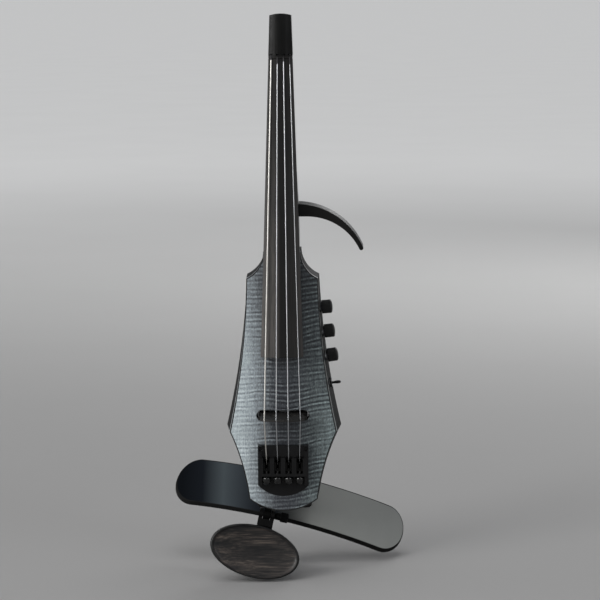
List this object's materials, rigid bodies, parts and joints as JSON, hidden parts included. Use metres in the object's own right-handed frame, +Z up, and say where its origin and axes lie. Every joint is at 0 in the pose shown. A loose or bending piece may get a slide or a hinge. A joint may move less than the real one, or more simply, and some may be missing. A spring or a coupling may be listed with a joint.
{
  "type": "headless electric violin",
  "caption": "Headless solid-body electric violin with tail tuners, side controls, a hand stop, an oval chin rest and a two-wing shoulder rest.",
  "frame": {"origin": "on the flat back of the body, on its centre line, level with the bridge", "axes": "+Z up the neck towards the head, -Y out of the string side, +Y out of the back, +X the treble (highest string) side"},
  "size_m": [0.2204, 0.1409, 0.5165],
  "materials": {
    "body_paint": "dark grey-green satin paint over wood",
    "figured_maple": "blue-grey stained, flamed, satin lacquer",
    "edge_line": "satin black",
    "neck_black": "black stained, satin",
    "ebony": "oiled dark wood",
    "black_metal": "satin black",
    "dark_metal": "polished black",
    "steel": "plain",
    "brass": "plain",
    "string_steel": "polished winding",
    "string_wound": "warm wound",
    "bridge_wood": "dark stained",
    "black_plastic": "moulded",
    "circuit_board": "lacquered board",
    "battery_case": "plain sleeve",
    "chin_wood": "dark, satin, brown streaks",
    "rest_shell": "grey-green satin",
    "rest_foam": "closed-cell foam"
  },
  "bodies": {
    "violin": {"body_core": "body_paint", "top_plate": "figured_maple", "top_binding": "edge_line", "neck": "neck_black", "fingerboard": "ebony", "nut": "ebony", "head_cap": "black_metal", "string_anchor": "brass", "head_cap_screws": "steel", "string_g": "string_wound", "string_d": "string_steel", "string_a": "string_steel", "string_e": "string_steel", "bridge": "bridge_wood", "pickup_base": "steel", "pickup_elements": "brass", "pickup_lead": "black_plastic", "tuner_frame": "black_metal", "tuner_frame_screws": "black_metal", "potentiometers": "steel", "pot_nuts": "steel", "toggle_body": "steel", "toggle_nut": "black_metal", "preamp_board": "circuit_board", "battery": "battery_case", "control_cover": "black_plastic", "battery_cover": "black_plastic", "cover_screws": "steel", "output_jack": "steel", "jack_nut": "black_metal", "hand_stop": "black_metal", "hand_stop_screws": "steel", "tail_bracket": "black_metal", "tail_bracket_screws": "steel", "chin_swivel_pin": "steel", "rest_swivel_pin": "steel"},
    "tuner_screw_g": {"tuner_screw_g": "dark_metal"},
    "tuner_carriage_g": {"tuner_carriage_g": "black_metal"},
    "tuner_screw_d": {"tuner_screw_d": "dark_metal"},
    "tuner_carriage_d": {"tuner_carriage_d": "black_metal"},
    "tuner_screw_a": {"tuner_screw_a": "dark_metal"},
    "tuner_carriage_a": {"tuner_carriage_a": "black_metal"},
    "tuner_screw_e": {"tuner_screw_e": "dark_metal"},
    "tuner_carriage_e": {"tuner_carriage_e": "black_metal"},
    "volume_knob": {"volume_knob": "black_plastic"},
    "bass_knob": {"bass_knob": "black_plastic"},
    "treble_knob": {"treble_knob": "black_plastic"},
    "toggle_lever": {"toggle_lever": "black_metal"},
    "chin_swivel": {"chin_swivel": "black_metal"},
    "chin_arm": {"chin_arm": "black_metal", "chin_tray": "black_plastic", "chin_plate": "chin_wood"},
    "chin_thumb_screw": {"chin_thumb_screw": "dark_metal"},
    "rest_swivel": {"rest_swivel": "black_metal"},
    "rest_post": {"rest_post": "black_metal"},
    "rest_wings": {"rest_plate": "rest_shell", "rest_pad": "rest_foam"},
    "rest_thumb_screw": {"rest_thumb_screw": "dark_metal"}
  },
  "joints": [
    {"name": "tuner_screw_g_turn", "type": "hinge", "parent": "violin", "child": "tuner_screw_g", "pos_m": [-0.01523, -0.045, -0.059], "axis": [0, 0, 1], "range_deg": [-1030, 1030]},
    {"name": "tuner_carriage_g_slide", "type": "slide", "parent": "violin", "child": "tuner_carriage_g", "axis": [0, 0, 1], "range_m": [-0.002, 0.002]},
    {"name": "tuner_screw_d_turn", "type": "hinge", "parent": "violin", "child": "tuner_screw_d", "pos_m": [-0.00507, -0.045, -0.059], "axis": [0, 0, 1], "range_deg": [-1030, 1030]},
    {"name": "tuner_carriage_d_slide", "type": "slide", "parent": "violin", "child": "tuner_carriage_d", "axis": [0, 0, 1], "range_m": [-0.002, 0.002]},
    {"name": "tuner_screw_a_turn", "type": "hinge", "parent": "violin", "child": "tuner_screw_a", "pos_m": [0.00507, -0.045, -0.059], "axis": [0, 0, 1], "range_deg": [-1030, 1030]},
    {"name": "tuner_carriage_a_slide", "type": "slide", "parent": "violin", "child": "tuner_carriage_a", "axis": [0, 0, 1], "range_m": [-0.002, 0.002]},
    {"name": "tuner_screw_e_turn", "type": "hinge", "parent": "violin", "child": "tuner_screw_e", "pos_m": [0.01523, -0.045, -0.059], "axis": [0, 0, 1], "range_deg": [-1030, 1030]},
    {"name": "tuner_carriage_e_slide", "type": "slide", "parent": "violin", "child": "tuner_carriage_e", "axis": [0, 0, 1], "range_m": [-0.002, 0.002]},
    {"name": "volume_knob_turn", "type": "hinge", "parent": "violin", "child": "volume_knob", "pos_m": [0.03521, -0.017, 0.098], "axis": [0.9964, 0, 0.0844], "range_deg": [-150, 150]},
    {"name": "bass_knob_turn", "type": "hinge", "parent": "violin", "child": "bass_knob", "pos_m": [0.03745, -0.017, 0.0755], "axis": [0.9936, 0, 0.1132], "range_deg": [-150, 150]},
    {"name": "treble_knob_turn", "type": "hinge", "parent": "violin", "child": "treble_knob", "pos_m": [0.04034, -0.017, 0.053], "axis": [0.9899, 0, 0.142], "range_deg": [-150, 150]},
    {"name": "toggle_flip", "type": "hinge", "parent": "violin", "child": "toggle_lever", "pos_m": [0.04148, -0.017, 0.02698], "axis": [0, 1, 0], "range_deg": [-12, 12]},
    {"name": "chin_swivel_turn", "type": "hinge", "parent": "violin", "child": "chin_swivel", "pos_m": [-0.014, 0, -0.0885], "axis": [0, 1, 0], "range_deg": [-10, 25]},
    {"name": "chin_tilt", "type": "hinge", "parent": "chin_swivel", "child": "chin_arm", "pos_m": [-0.01712, 0.0068, -0.10317], "axis": [0.9781, 0, -0.2079], "range_deg": [-8, 25]},
    {"name": "chin_thumb_screw_turn", "type": "hinge", "parent": "chin_arm", "child": "chin_thumb_screw", "pos_m": [-0.01712, 0.0068, -0.10317], "axis": [0.9781, 0, -0.2079], "range_deg": [-180, 180]},
    {"name": "rest_swivel_turn", "type": "hinge", "parent": "violin", "child": "rest_swivel", "pos_m": [0.00726, 0, -0.08036], "axis": [0, 1, 0], "range_deg": [-20, 20]},
    {"name": "rest_height_slide", "type": "slide", "parent": "rest_swivel", "child": "rest_post", "axis": [0, 1, 0], "range_m": [0, 0.005]},
    {"name": "rest_tilt", "type": "hinge", "parent": "rest_post", "child": "rest_wings", "pos_m": [0.00726, 0.03323, -0.08036], "axis": [0.9573, 0, -0.289], "range_deg": [-8, 20]},
    {"name": "rest_thumb_screw_turn", "type": "hinge", "parent": "rest_post", "child": "rest_thumb_screw", "pos_m": [0.00726, 0.03323, -0.08036], "axis": [0.9573, 0, -0.289], "range_deg": [-180, 180]}
  ],
  "couplings": [
    {"joint": "tuner_screw_g_turn", "follows": "tuner_carriage_g_slide", "rad_per_m": 8976},
    {"joint": "tuner_screw_d_turn", "follows": "tuner_carriage_d_slide", "rad_per_m": 8976},
    {"joint": "tuner_screw_a_turn", "follows": "tuner_carriage_a_slide", "rad_per_m": 8976},
    {"joint": "tuner_screw_e_turn", "follows": "tuner_carriage_e_slide", "rad_per_m": 8976}
  ]
}
